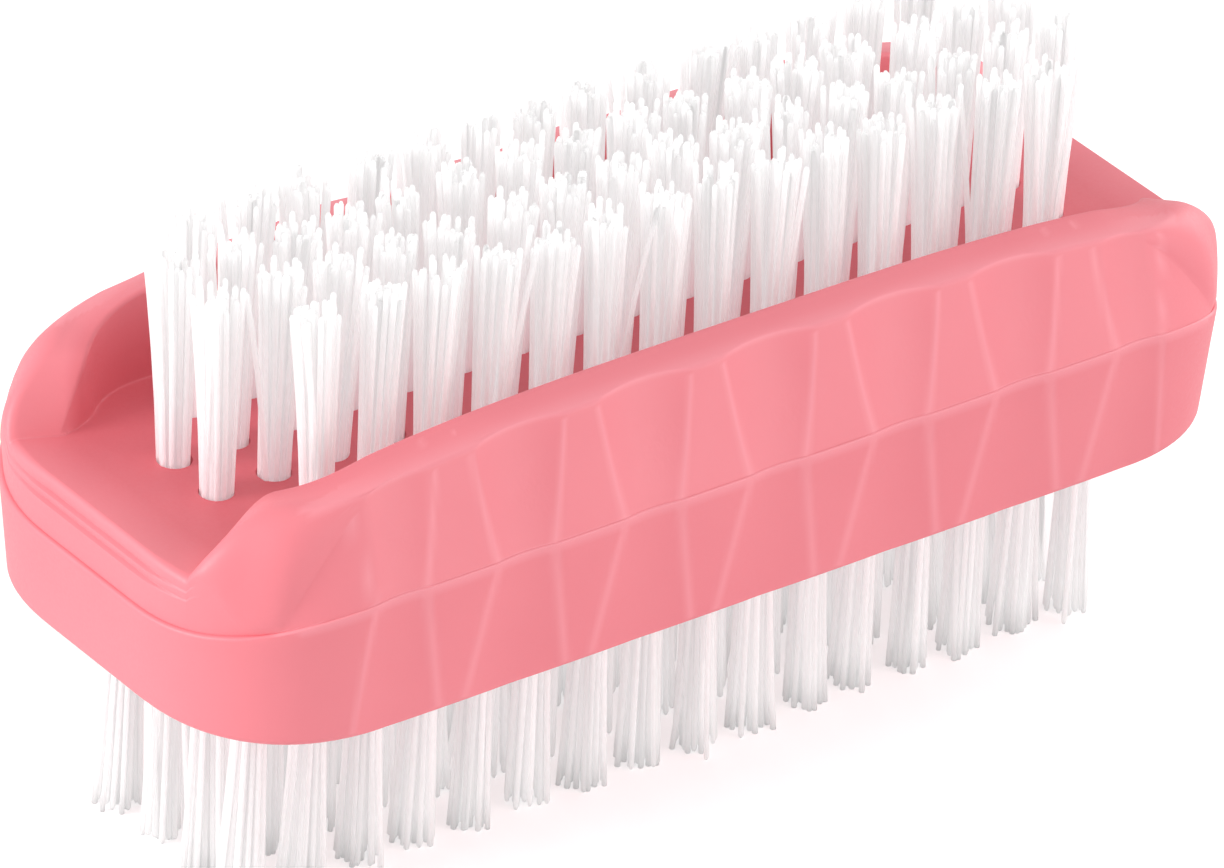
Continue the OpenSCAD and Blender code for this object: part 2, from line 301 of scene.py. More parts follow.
# %% Outer face of the body round a corner, from the seam to the end of the round
STEP_D, STEP_GROOVE, LOW_STEP, HIGH_STEP, END_NOTCH, NOTCH_KEPT = 0.22, 0.09, 0.66, 0.85, 0.3, 0.3
# Each entry is a share of the height, the steps gone in up to there, and a share of the groove
STEP_LINE = [(-0.035, 0, 0), (-0.015, 0.3, 0.3), (0.0, 0.8, 1.0), (0.015, 1, 1.0), (0.035, 1, 0.35),
             (0.055, 1, 0)]
FACE = [(f, 0, 0) for f in (0.012, 0.03, 0.07, 0.12, 0.18, 0.24, 0.3, 0.36, 0.42, 0.48, 0.54, 0.59)]
FACE += [(LOW_STEP + f, g, h) for f, g, h in STEP_LINE] + [(0.75, 1, 0), (0.78, 1, 0)]
FACE += [(HIGH_STEP + f, 1 + g, h) for f, g, h in STEP_LINE] + [(0.94, 2, 0), (0.97, 2, 0), (1.0, 2, 0)]
ROUND_STEPS = 14
TURNS = [(i + 1) / ROUND_STEPS for i in range(ROUND_STEPS)]


def corner_face(angle, base, top, round_w, round_h):
    fade = max(0, 1 - angle / STEP_FADE)
    step, notch = STEP_D * fade, END_NOTCH * end_share(angle)
    face_h = top - round_h - base
    groove = STEP_GROOVE * fade
    points = [(g * step + h * groove + notch * (1 - (1 - NOTCH_KEPT) * f), base + face_h * f)
              for f, g, h in FACE]
    start = 2 * step + notch * NOTCH_KEPT
    for g in TURNS:
        a = math.radians(90 * g)
        points.append((start + (round_w - start) * (1 - math.cos(a)),
                       base + face_h + round_h * math.sin(a)))
    return points


print("rings up the face:", len(FACE) + len(TURNS))

# %% Outer face of the body along a side, up to the ridge
RIDGE_R, WALL_FOOT, WALL_LEAN = 0.5, 6.25, 0.45


def side_face(base, top):
    lean = math.atan2(RIDGE_INSET, top - RIDGE_DROP - base)
    slope = math.atan2(RIDGE_DROP, WALL_FOOT - WALL_LEAN - RIDGE_INSET)
    out = (-math.cos(lean), math.sin(lean))
    up = (-math.sin(slope), math.cos(slope))
    share = RIDGE_R / (1 + out[0] * up[0] + out[1] * up[1])
    middle = (RIDGE_INSET - share * (out[0] + up[0]), top - RIDGE_DROP - share * (out[1] + up[1]))
    start = (middle[0] + RIDGE_R * out[0], middle[1] + RIDGE_R * out[1])
    points = [(start[0] * f, base + (start[1] - base) * f) for f, g, h in FACE]
    for g in TURNS:
        a = lean + (math.pi / 2 - slope - lean) * g
        points.append((middle[0] - RIDGE_R * math.cos(a), middle[1] + RIDGE_R * math.sin(a)))
    return points


print("ridge point:", [round(v, 2) for v in side_face(0, wall_top(0))[-1]])

# %% Whole section of the upper moulding
SPIGOT_INSET, SPIGOT_H = 4.0, 4.9
CORNER_ROUND_W, CORNER_ROUND_H, ROUND_POWER, DECK_EDGE_W, DECK_EDGE_H = 3.6, 8.0, 2.5, 0.9, 0.6
WALL_END_FOOT, WALL_INNER_R = 4.1, 0.3
BAND = [0.05, 0.1, 0.15, 0.2, 0.25, 0.3, 0.36, 0.45, 0.6, 0.75, 0.9]
FOOT_R, SEAM_FACE_W, DECK_RIM_W = 0.15, 0.5, 0.3
CREST_TURNS, WALL_SHARES = (0, 0.4, 0.8, 1.2, math.pi / 2), (0.3, 0.6, 0.85)
FOOT_TURNS = (0, 0.5, 1.05, math.pi / 2)


@lru_cache(maxsize=None)
def upper_section(u):
    angle = angle_at(u)
    k, lean, base, top = wall_share(angle), lean_share(angle), -seam_drop(u), wall_top(u)
    notch = END_NOTCH * end_share(angle)
    grown = k ** ROUND_POWER
    round_w = DECK_EDGE_W + grown * (CORNER_ROUND_W - DECK_EDGE_W)
    round_h = min(DECK_EDGE_H + grown * (CORNER_ROUND_H - DECK_EDGE_H), top - base - DECK_EDGE_H)
    rings = [(SPIGOT_INSET, -SPIGOT_H), (SPIGOT_INSET, base)]
    rings += [(notch + SEAM_FACE_W, base), (notch, base)]
    for c, s in zip(corner_face(angle, base, top, round_w, round_h), side_face(base, top)):
        rings.append((c[0] + (s[0] - c[0]) * lean, c[1] + (s[1] - c[1]) * lean))
    foot = WALL_END_FOOT + k * (WALL_FOOT - WALL_END_FOOT)
    inner, r = foot - WALL_LEAN, WALL_INNER_R
    over = rings[-1]
    rings += [(over[0] + (inner - r - over[0]) * f, over[1] + (top - over[1]) * f) for f in BAND]
    for a in CREST_TURNS:
        rings.append((inner - r + r * math.sin(a), top - k * r * (1 - math.cos(a))))
    high, low = top - k * r, DECK_H + k * FOOT_R
    rings += [(inner + WALL_LEAN * f, high + (low - high) * f) for f in WALL_SHARES]
    for a in FOOT_TURNS:
        rings.append((foot + FOOT_R * (1 - math.cos(a)), DECK_H + k * FOOT_R * (1 - math.sin(a))))
    rings.append((foot + FOOT_R + DECK_RIM_W, DECK_H))
    return rings


upper_moulding = draw_out("upper_moulding", upper_section)

# %% [markdown]
# ## The lower moulding
# The lower half is a plain slab that narrows a little towards its underside, with a small round
# along that edge. Along the sides its top edge stands a hair proud of the upper half and closes on
# it, so that a fine ledge catches the light. At the ends this edge is rounded. Inside is the pocket
# for the spigot.

# %% Section of the lower moulding
LOWER_EDGE_R, POCKET_GAP = 0.8, 0.1
END_LIP, PROUD, PROUD_FADE, JOINT_GAP = 0.3, 0.13, 0.35, 0.002
JOINT_FACE_W, LEDGE_SEAT, LEDGE_FOOT, UNDERSIDE_RIM_W = 0.7, 0.04, 0.05, 0.4
# Each entry is a distance inwards and a height over the joint
LEDGE = [(0.03, 0.0), (0.02, 0.12), (-0.06, 0.09), (-0.1, 0.05), (-0.12, -0.01), (-0.13, -0.09)]
LIP_TURNS = [0.3, 0.6, 0.9, 1.15, 1.4, math.pi / 2]
SIDE_SHARES = (0.05, 0.1, 0.17, 0.25, 0.33, 0.42, 0.5, 0.58, 0.67, 0.75, 0.84, 0.92, 1.0)
EDGE_ANGLES = (12, 24, 36, 48, 60, 70, 80, 90)


@lru_cache(maxsize=None)
def lower_section(u):
    end = end_share(angle_at(u))
    base = -seam_drop(u) - JOINT_GAP
    pocket = SPIGOT_INSET - POCKET_GAP
    rings = [(pocket, -SPIGOT_H - POCKET_GAP), (pocket, base), (JOINT_FACE_W, base),
             (END_LIP * end + LEDGE_SEAT, base)]
    for (out, up), a in zip(LEDGE, LIP_TURNS):
        rings.append((END_LIP * (1 - math.sin(a)) * end + out * (1 - end),
                      base - END_LIP * (1 - math.cos(a)) * end + up * (1 - end)))
    top, bottom = base - END_LIP - LEDGE_FOOT, LOWER_EDGE_R - LOWER_H
    for f in SIDE_SHARES:
        proud = PROUD * (1 - end) * max(0, 1 - f / PROUD_FADE)
        rings.append((LOWER_DRAFT * f - proud, top + (bottom - top) * f))
    for a in EDGE_ANGLES:
        rings.append((LOWER_DRAFT + LOWER_EDGE_R * (1 - math.cos(math.radians(a))),
                      bottom - LOWER_EDGE_R * math.sin(math.radians(a))))
    rings.append((LOWER_DRAFT + LOWER_EDGE_R + UNDERSIDE_RIM_W, -LOWER_H))
    return rings


lower_moulding = draw_out("lower_moulding", lower_section)

# %% [markdown]
# ## Tuft holes and locating pegs
# Every tuft sits in a blind round hole, and six pegs under the spigot find their sockets in the
# lower half. The holes could be painted on, but a real hole gives the fine line round each root.
# One round cutter is modelled, copied onto the grid, joined and taken away with a Boolean modifier.

# %% The grid of tufts
PITCH_X, PITCH_Y, COLUMNS = 4.88, 5.1, 16
HOLE_R, HOLE_DEPTH, OVERRUN, ROUND_SIDES = 1.3, 4.8, 1.0, 24


def row_places(row, side):
    """(x, y) of each tuft of a row. Above, the outer rows leave out their end tufts."""
    ends = 1 if side > 0 and row in (1, 4) else 0
    columns = range(ends, COLUMNS - ends)
    return [((c - (COLUMNS - 1) / 2) * PITCH_X, (row - 2.5) * PITCH_Y) for c in columns]


upper_places = [place for row in (1, 2, 3, 4) for place in row_places(row, 1)]
lower_places = [place for row in (1, 2, 3, 4) for place in row_places(row, -1)]
print("tufts above and below:", len(upper_places), len(lower_places))


# %% Copy a tool onto many places and join the copies
def many_of(tool, places, z, over=False):
    """Copies a modelled tool to (x, y) places at a height, turned over if asked, as one mesh."""
    bpy.ops.object.select_all(action="DESELECT")
    copies = []
    for x, y in places:
        copy = tool.copy()
        copy.data = tool.data.copy()
        copy.location = (x * MM, y * MM, z * MM)
        copy.rotation_euler = (math.pi if over else 0, 0, 0)
        bpy.context.collection.objects.link(copy)
        copy.select_set(True)
        copies.append(copy)
    bpy.context.view_layer.objects.active = copies[0]
    bpy.ops.object.join()
    bpy.ops.object.transform_apply(location=True, rotation=True, scale=True)
    print("copies joined:", len(copies))
    return bpy.context.object


# %% Model a round tool, and cut a piece with a tool or add it
def cut_or_add(piece, tool, operation):
    bpy.ops.object.select_all(action="DESELECT")
    bpy.context.view_layer.objects.active = piece
    piece.select_set(True)
    change = piece.modifiers.new(operation.lower(), "BOOLEAN")
    change.object, change.operation, change.solver = tool, operation, "EXACT"
    bpy.ops.object.modifier_apply(modifier=change.name)
    bpy.data.objects.remove(tool)
    print(piece.name, operation.lower(), "faces:", len(piece.data.polygons))


def round_tool(radius, top, bottom):
    bpy.ops.object.select_all(action="DESELECT")
    bpy.ops.mesh.primitive_cylinder_add(vertices=ROUND_SIDES, radius=radius * MM,
                                        depth=(top - bottom) * MM,
                                        location=(0, 0, (top + bottom) / 2 * MM))
    bpy.ops.object.transform_apply(location=True)
    return bpy.context.object


# %% Bore both mouldings
hole_cutter = round_tool(HOLE_R, OVERRUN, -HOLE_DEPTH)
upper_cutters = many_of(hole_cutter, upper_places, SEAM_Z + DECK_H)
cut_or_add(upper_moulding, upper_cutters, "DIFFERENCE")
lower_cutters = many_of(hole_cutter, lower_places, SEAM_Z - LOWER_H, over=True)
cut_or_add(lower_moulding, lower_cutters, "DIFFERENCE")
bpy.data.objects.remove(hole_cutter)

# %% Pegs and their sockets
PEG_R, PEG_L, PEG_GAP, PEG_ROOT, PEG_Y, PEG_PITCH = 1.4, 3.4, 0.05, 0.5, 12.2, 27
peg_places = [(i * PEG_PITCH, side * PEG_Y) for i in (-1, 0, 1) for side in (-1, 1)]
peg = round_tool(PEG_R, PEG_ROOT - SPIGOT_H, -SPIGOT_H - PEG_L)
socket = round_tool(PEG_R + PEG_GAP, PEG_ROOT - SPIGOT_H, -SPIGOT_H - PEG_L - POCKET_GAP)
cut_or_add(upper_moulding, many_of(peg, peg_places, SEAM_Z), "UNION")
cut_or_add(lower_moulding, many_of(socket, peg_places, SEAM_Z), "DIFFERENCE")
bpy.data.objects.remove(peg)
bpy.data.objects.remove(socket)

# %% [markdown]
# ## Marks for the finish
# The rims, the ridge and the seam get a painted highlight, a paler pink where their edges catch the
# light. Some spots in the scoops have a coarser grain, and the deck gets painted shade, a deeper pink.
# The finish could find these places with masks on the coordinates, but a number stored at each point of
# the mesh is simpler and bends with the form. All places are in millimetres, with the height counted
# from the seam.

# %% Which points get a painted highlight: on a rim, on the ridge or on the seam
CHEEK_Y, BAND_Y, CORE_Y = 14.0, 14.6, 9.0
SEAM_BAND, SEAM_PAST, RIDGE_BAND, RIM_BAND, RIM_FLOOR = 0.1, 3.0, 0.35, 0.12, -10.6
RIDGE_SHIFT = 0.05


# Painted highlight: a share of paler pink where the edges catch the light
def rim_highlight_share(x, y, z):
    """One on a rim, on the ridge and on the ledge of the seam, falling to nothing beside them."""
    if abs(y) < CORE_Y:
        return 0.0
    if abs(z + seam_drop(x)) < SEAM_BAND and abs(x) < SIDE_END + SEAM_PAST:
        return 1.0
    ridge = 1 - abs(z - wall_top(x) + RIDGE_DROP - RIDGE_SHIFT) / RIDGE_BAND
    if ridge > 0 and abs(x) < SIDE_END:
        return ridge if abs(y) > BAND_Y else 0.0
    if abs(y) < CHEEK_Y or abs(x) > SIDE_END or not RIM_FLOOR < z < RIDGE_Z:
        return 0.0
    inset = RIDGE_INSET * z / RIDGE_Z if z > 0 else -LOWER_DRAFT * z / LOWER_H
    u = x if abs(x) < CORNER_X else math.copysign(
        CORNER_X + (abs(x) - CORNER_X) * CORNER_R / (CORNER_R - inset), x)
    land = place_of(u, inset)[1]
    return max(0.0, 1 - abs(scoop_limit(x, z) - land) / RIM_BAND)


print("on the seam and in a scoop:", rim_highlight_share(0, HALF_W, 0), rim_highlight_share(0, HALF_W - RIDGE_INSET, 4))

# %% Which points lie in a patch of coarser grain
GRAIN_X, GRAIN_Z, GRAIN_REACH, GRAIN_FLOOR = 1.6, 3.4, 1.7, 0.3


def grain_share(x, y, z):
    """One in the middle of a patch beside the middle of each upper scoop."""
    if abs(y) < CHEEK_Y or abs(x) > SIDE_END or z < GRAIN_FLOOR:
        return 0.0
    across = ((x - scoop_middle(x)) * (-1 if y > 0 else 1) - GRAIN_X) / GRAIN_REACH
    return math.exp(-across ** 2 - ((z - GRAIN_Z) / GRAIN_REACH) ** 2)


print("in the middle of a patch:", grain_share(GRAIN_X, -HALF_W, GRAIN_Z))

# %% Which points get painted shade in the trough
DECK_BAND, DECK_FADE, FOOT_FADE, HIGH_SHARE, HIGH_FADE = (-0.05, 0.1), (1.2, 4), (4.2, 1.2), 1.7, 5


# Painted shade: a deeper pink on the deck and low on the inside of the walls
def trough_shade_share(x, y, z):
    """One on the deck, fading towards the edge of the deck and up the inside of the walls."""
    over_x, over_y = max(0, abs(x) - CORNER_X), max(0, abs(y) - CORNER_Y)
    inset = CORNER_R - (over_x ** CORNER_POWER + over_y ** CORNER_POWER) ** (1 / CORNER_POWER)
    if z < DECK_H + DECK_BAND[0]:
        return 0.0
    if z < DECK_H + DECK_BAND[1]:
        return min(1.0, max(0.0, (inset - DECK_FADE[0]) / DECK_FADE[1]))
    inside = min(1.0, max(0.0, (inset - FOOT_FADE[0]) / FOOT_FADE[1]))
    return inside * min(1.0, max(0.0, HIGH_SHARE - (z - DECK_H) / HIGH_FADE))


print("in the middle of the deck:", trough_shade_share(0, 0, DECK_H))

# %% Shade both mouldings smooth and store the marks
SHARP_ANGLE = math.radians(38)

for moulding in (upper_moulding, lower_moulding):
    bpy.ops.object.select_all(action="DESELECT")
    bpy.context.view_layer.objects.active = moulding
    moulding.select_set(True)
    bpy.ops.object.shade_smooth_by_angle(angle=SHARP_ANGLE)
    for label, share in (("rim", rim_highlight_share), ("grain", grain_share), ("painted_shade", trough_shade_share)):
        marks = [share(v.co.x / MM, v.co.y / MM, v.co.z / MM - SEAM_Z) for v in moulding.data.vertices]
        moulding.data.attributes.new(label, "FLOAT", "POINT").data.foreach_set("value", marks)
    print(moulding.name, "vertices:", len(moulding.data.vertices))

# %% [markdown]
# ## One filament
# A nylon filament is a straight round thread, cut blunt, with a tip that is rounded by grinding.
# There are thousands of them, so a single one is modelled with very few faces: a six sided cylinder
# with four cuts along it, which later let it bend, and a drawn-in tip.

# %% Model the filament, one unit long and one unit in radius
THREAD_SIDES, THREAD_CUTS, TIP_H, TIP_SHARE = 6, (0.2, 0.42, 0.64, 0.85), 0.012, 0.55

bpy.ops.object.select_all(action="DESELECT")
bpy.ops.mesh.primitive_cylinder_add(vertices=THREAD_SIDES, radius=1, depth=1, location=(0, 0, 0.5))
filament = bpy.context.object
bpy.ops.object.transform_apply(location=True)
bpy.ops.object.mode_set(mode="EDIT")
for level in THREAD_CUTS:
    bpy.ops.mesh.select_all(action="SELECT")
    bpy.ops.mesh.bisect(plane_co=(0, 0, level), plane_no=(0, 0, 1))
bpy.ops.mesh.select_mode(type="FACE")
bpy.ops.mesh.select_all(action="DESELECT")
net = bmesh.from_edit_mesh(filament.data)
for face in net.faces:
    face.select = all(v.co.z > THREAD_CUTS[-1] + TIP_H for v in face.verts)
bmesh.update_edit_mesh(filament.data)
bpy.ops.mesh.extrude_region_move(TRANSFORM_OT_translate={"value": (0, 0, TIP_H)})
bpy.ops.transform.resize(value=(TIP_SHARE, TIP_SHARE, 1))
bpy.ops.object.mode_set(mode="OBJECT")
thread_points = np.array([v.co[:] for v in filament.data.vertices])
thread_faces = [tuple(f.vertices) for f in filament.data.polygons]
bpy.data.objects.remove(filament)
print("filament points and faces:", len(thread_points), len(thread_faces))

# %% [markdown]
# ## Tufts and rows
# Nearly thirty filaments, folded over a flat wire, fill each hole. They come out upright and packed,
# and spread a little on the way to their tips. A few stray ones lean out. They could be hair
# particles, but the export needs meshes, so each row is one mesh of filament copies. A seeded
# random source gives every run the same brush.

# %% Lay out the filaments of one tuft
FILAMENTS, FILAMENT_R, TUFT_R = 27, 0.215, 1.07
ANCHOR_H = 1.5
GOLDEN = math.pi * (3 - math.sqrt(5))
FLARE, TUFT_LEAN, TUFT_UNEVEN, ROW_FAN = (0.4, 0.8), 0.3, 0.2, 0.15
STRAY_CHANCE, STRAY_WANDER, WANDER, THICKNESS = 0.08, 0.8, 0.16, (0.88, 1.1)


def tuft_threads(rng, free, tip_scatter, lean):
    """A list of (root, tip offset, length, radius) of one tuft that grows up from its anchor."""
    threads = []
    turn = rng.uniform(0, 2 * math.pi)
    flare = rng.uniform(*FLARE)
    own_lean = (lean + rng.gauss(0, TUFT_LEAN), rng.gauss(0, TUFT_LEAN))
    own_length = rng.gauss(0, TUFT_UNEVEN)
    for k in range(FILAMENTS):
        r = TUFT_R * math.sqrt((k + 0.5) / FILAMENTS)
        a = turn + k * GOLDEN
        root = (r * math.cos(a), r * math.sin(a))
        wander = STRAY_WANDER if rng.random() < STRAY_CHANCE else WANDER
        tip = (root[0] * flare + own_lean[0] + rng.gauss(0, wander),
               root[1] * flare + own_lean[1] + rng.gauss(0, wander))
        length = free + HOLE_DEPTH - ANCHOR_H + own_length + rng.uniform(-tip_scatter, tip_scatter)
        threads.append((root, tip, length, FILAMENT_R * rng.uniform(*THICKNESS)))
    return threads


print("share of a hole that nylon fills:", round(FILAMENTS * (FILAMENT_R / HOLE_R) ** 2, 2))

# %% Build a row of tufts as one mesh
BEND_POWER = 1.6


def bristle_row(name, row, side, free, tip_scatter):
    """side 1 grows up from the deck and -1 grows down from the underside."""
    rng = random.Random(name)
    mouth_z = SEAM_Z + (DECK_H if side > 0 else -LOWER_H)
    start_z = mouth_z - side * (HOLE_DEPTH - ANCHOR_H)
    points, faces, tone, along = [], [], [], []
    for x, y in row_places(row, side):
        lean = ROW_FAN * x / ((COLUMNS - 1) / 2 * PITCH_X)
        for root, tip, length, radius in tuft_threads(rng, free, tip_scatter, lean):
            t = thread_points[:, 2]
            bend = np.clip(t, 0, 1) ** BEND_POWER
            px = x + root[0] + tip[0] * bend + thread_points[:, 0] * radius
            py = y + root[1] + tip[1] * bend + thread_points[:, 1] * radius
            pz = start_z + side * t * length
            if side < 0:
                pz = np.maximum(pz, 0)
            first = len(tone)
            points += list(zip(px * MM, py * MM, pz * MM))
            faces += [tuple(first + i for i in (f if side > 0 else f[::-1])) for f in thread_faces]
            tone += [rng.random()] * len(t)
            along += list(np.clip((t * length - (HOLE_DEPTH - ANCHOR_H)) / free, 0, 1))
    mesh = bpy.data.meshes.new(name)
    mesh.from_pydata(points, [], faces)
    piece = bpy.data.objects.new(name, mesh)
    bpy.context.collection.objects.link(piece)
    for label, values in (("tone", tone), ("along", along)):
        mesh.attributes.new(label, "FLOAT", "POINT").data.foreach_set("value", values)
    mesh.polygons.foreach_set("use_smooth", [len(f) == 4 for f in faces])
    mesh.update()
    print(name, "faces:", len(faces))
    return piece


# %% Make the eight rows
UPPER_FREE, UPPER_SCATTER = 15.5, 0.6
LOWER_FREE, LOWER_SCATTER = 18.2, 0.3
bristle_rows = {}
for row in (1, 2, 3, 4):
    upper_bristles = bristle_row(f"upper_bristles_{row}", row, 1, UPPER_FREE, UPPER_SCATTER)
    lower_bristles = bristle_row(f"lower_bristles_{row}", row, -1, LOWER_FREE, LOWER_SCATTER)
    bristle_rows[f"upper_tuft_row_{row}"] = upper_bristles
    bristle_rows[f"lower_tuft_row_{row}"] = lower_bristles
print("rows:", len(bristle_rows))

# %% [markdown]
# ## Finishes
# Each finish is a set of nodes on object coordinates or on a value stored in the mesh, so it stays
# in place in any view. Numbers that are the same all over go straight onto the shader.


# %% Start a finish, and three sources for it
def new_finish(name):
    finish = bpy.data.materials.new(name)
    finish.use_nodes = True
    nodes, links = finish.node_tree.nodes, finish.node_tree.links
    return finish, nodes, links, nodes["Principled BSDF"]


def noise(nodes, links, scale, detail):
    where = nodes.new("ShaderNodeTexCoord")
    made = nodes.new("ShaderNodeTexNoise")
    made.inputs["Scale"].default_value = scale
    made.inputs["Detail"].default_value = detail
    links.new(where.outputs["Object"], made.inputs["Vector"])
    return made.outputs["Fac"]


def stored(nodes, label):
    """The value of that name at each point of the mesh."""
    made = nodes.new("ShaderNodeAttribute")
    made.attribute_name = label
    return made.outputs["Fac"]


def spread(nodes, links, value, low, high, from_low=0.0, from_high=1.0):
    made = nodes.new("ShaderNodeMapRange")
    made.inputs["From Min"].default_value = from_low
    made.inputs["From Max"].default_value = from_high
    made.inputs["To Min"].default_value = low
    made.inputs["To Max"].default_value = high
    links.new(value, made.inputs["Value"])
    return made.outputs["Result"]


marks_found = [label for label in ("rim", "grain", "painted_shade") if label in upper_moulding.data.attributes]
print("stored on the upper moulding:", marks_found)


# %% Work with colours
def between(nodes, links, value, low, high, from_low=0.0, from_high=1.0):
    """A ramp from one colour to another."""
    made = nodes.new("ShaderNodeValToRGB")
    first, last = made.color_ramp.elements
    first.position, first.color = from_low, (*low, 1)
    last.position, last.color = from_high, (*high, 1)
    links.new(value, made.inputs["Fac"])
    return made


def towards(nodes, links, colour, goal, share):
    """Takes a colour towards another one by a share."""
    made = nodes.new("ShaderNodeMix")
    made.data_type = "RGBA"
    made.inputs["B"].default_value = (*goal, 1)
    links.new(share, made.inputs["Factor"])
    links.new(colour, made.inputs["A"])
    return made.outputs["Result"]


PINK_LOW, PINK_HIGH = (0.87, 0.225, 0.265), (0.90, 0.245, 0.285)
# Painted highlight and painted shade of the pink
PINK_HIGHLIGHT, PINK_SHADE = (0.96, 0.34, 0.39), (0.72, 0.135, 0.165)
# The pink of the nylon towards its roots is painted bounce light from the body
NYLON_ROOT_BOUNCE, NYLON_MIDDLE, NYLON_TIP = (0.93, 0.79, 0.81), (0.94, 0.90, 0.905), (0.96, 0.95, 0.95)
BRASS_DARK, BRASS_LIGHT = (0.50, 0.34, 0.12), (0.78, 0.58, 0.25)
PAPER_DARK, PAPER_LIGHT = (0.88, 0.88, 0.88), (0.92, 0.92, 0.92)
print("pink between", PINK_LOW, "and", PINK_HIGH)

# %% [markdown]
# ### Pink plastic
# The body is a satin pink plastic that lets a trace of light in. Its colour is nearly even, with very
# faint clouds from the mixing of the pellets. A painted highlight makes it paler where the marks say
# rim, and painted shade makes it deeper in the trough. A fine moulded grain breaks up the shine, and it
# is rougher in its patches inside the scoops. One bump could carry both reliefs, but two in a row keep
# the strength of the grain and of the slight waviness apart.

# %% Colour of the pink plastic
# Shares of painted highlight on the rims and painted shade in the trough
HIGHLIGHT_SHARE, SHADE_SHARE = 0.6, 0.8
pink_plastic, nodes, links, shader = new_finish("pink_plastic")
clouds = noise(nodes, links, scale=60, detail=3)
pink = between(nodes, links, clouds, PINK_LOW, PINK_HIGH, 0.3, 0.7).outputs["Color"]
# Painted shade: a deeper pink in the trough
trough_shade_amount = spread(nodes, links, stored(nodes, "painted_shade"), 0.0, SHADE_SHARE)
shaded_pink = towards(nodes, links, pink, PINK_SHADE, trough_shade_amount)
# Painted highlight: paler pink on the rims, the ridge and the seam ledge
rim_highlight = spread(nodes, links, stored(nodes, "rim"), 0.0, HIGHLIGHT_SHARE)
links.new(towards(nodes, links, shaded_pink, PINK_HIGHLIGHT, rim_highlight), shader.inputs["Base Color"])
shader.inputs["Subsurface Weight"].default_value = 0.03
shader.inputs["Subsurface Radius"].default_value = (1.0, 0.45, 0.4)
shader.inputs["Subsurface Scale"].default_value = 0.0008
print(pink_plastic.name, "nodes for the colour:", len(nodes))

# %% Shine and grain of the pink plastic
WAVE_H, GRAIN_H = 0.00025, 0.00003
grain = noise(nodes, links, scale=3800, detail=2)
links.new(spread(nodes, links, grain, 0.42, 0.54, 0.3, 0.7), shader.inputs["Roughness"])
waves = nodes.new("ShaderNodeBump")
waves.inputs["Distance"].default_value = WAVE_H
waves.inputs["Strength"].default_value = 0.25
links.new(noise(nodes, links, scale=140, detail=1), waves.inputs["Height"])
tooth = nodes.new("ShaderNodeBump")
tooth.inputs["Distance"].default_value = GRAIN_H
links.new(spread(nodes, links, stored(nodes, "grain"), 0.1, 0.9), tooth.inputs["Strength"])
links.new(grain, tooth.inputs["Height"])
links.new(waves.outputs["Normal"], tooth.inputs["Normal"])
links.new(tooth.outputs["Normal"], shader.inputs["Normal"])
print(pink_plastic.name, "nodes in all:", len(nodes))

# %% [markdown]
# ### Nylon
# The filaments are milky white and let light through. Towards the roots a painted pink stands for light
# bounced off the body, and each one is a little lighter or darker than the next. A stored value says
# how far along the filament a point is, and another one gives each filament its own tone. Light that
# wanders between thousands of filaments takes very many bounces to follow, so a small glow stands for
# it.

# %% Nylon filament
nylon, nodes, links, shader = new_finish("bristle_nylon")
# The pink towards the roots is painted bounce light from the body
nylon_tint_and_bounce = between(nodes, links, stored(nodes, "along"), NYLON_ROOT_BOUNCE, NYLON_TIP)
nylon_tint_and_bounce.color_ramp.elements.new(0.35).color = (*NYLON_MIDDLE, 1)
shade = nodes.new("ShaderNodeMix")
shade.data_type, shade.blend_type = "RGBA", "MULTIPLY"
shade.inputs["Factor"].default_value = 1.0
links.new(nylon_tint_and_bounce.outputs["Color"], shade.inputs["A"])
links.new(spread(nodes, links, stored(nodes, "tone"), 0.84, 1.0), shade.inputs["B"])
links.new(shade.outputs["Result"], shader.inputs["Base Color"])
sheen = noise(nodes, links, scale=900, detail=2)
links.new(spread(nodes, links, sheen, 0.28, 0.45), shader.inputs["Roughness"])
shader.inputs["Subsurface Weight"].default_value = 1.0
shader.inputs["Subsurface Radius"].default_value = (1.0, 0.97, 0.97)
shader.inputs["Subsurface Scale"].default_value = 0.003
links.new(shade.outputs["Result"], shader.inputs["Emission Color"])
shader.inputs["Emission Strength"].default_value = 0.18
print(nylon.name, "nodes:", len(nodes))

# %% [markdown]
# ### Anchor wire
# The staples are short flat brass wires at the bottom of the holes. Nobody sees them on a finished
# brush, but they are real pieces, so they get drawn brass with fine lines along the wire.

# %% Drawn brass
anchor_brass, nodes, links, shader = new_finish("anchor_brass")
where = nodes.new("ShaderNodeTexCoord")
stretch = nodes.new("ShaderNodeMapping")
stretch.inputs["Scale"].default_value = (1, 12, 12)
lines = nodes.new("ShaderNodeTexNoise")
lines.inputs["Scale"].default_value = 900
links.new(where.outputs["Object"], stretch.inputs["Vector"])
links.new(stretch.outputs["Vector"], lines.inputs["Vector"])
brass = between(nodes, links, lines.outputs["Fac"], BRASS_DARK, BRASS_LIGHT)
links.new(brass.outputs["Color"], shader.inputs["Base Color"])
links.new(spread(nodes, links, lines.outputs["Fac"], 0.25, 0.5), shader.inputs["Roughness"])
shader.inputs["Metallic"].default_value = 1.0
print(anchor_brass.name, "nodes:", len(nodes))

# %% [markdown]
# ## Join the looks to the frame
# Every new piece rides on the one rigid body and gets its finish, and the solid it stands for is
# hidden. The anchors stay as they are and only change their finish.

# %% Ride, replace and finish
def dress(piece, finish, slot, *solids):
    piece.data.materials.clear()
    piece.data.materials.append(finish)
    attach(piece, "root")
    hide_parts(*solids)


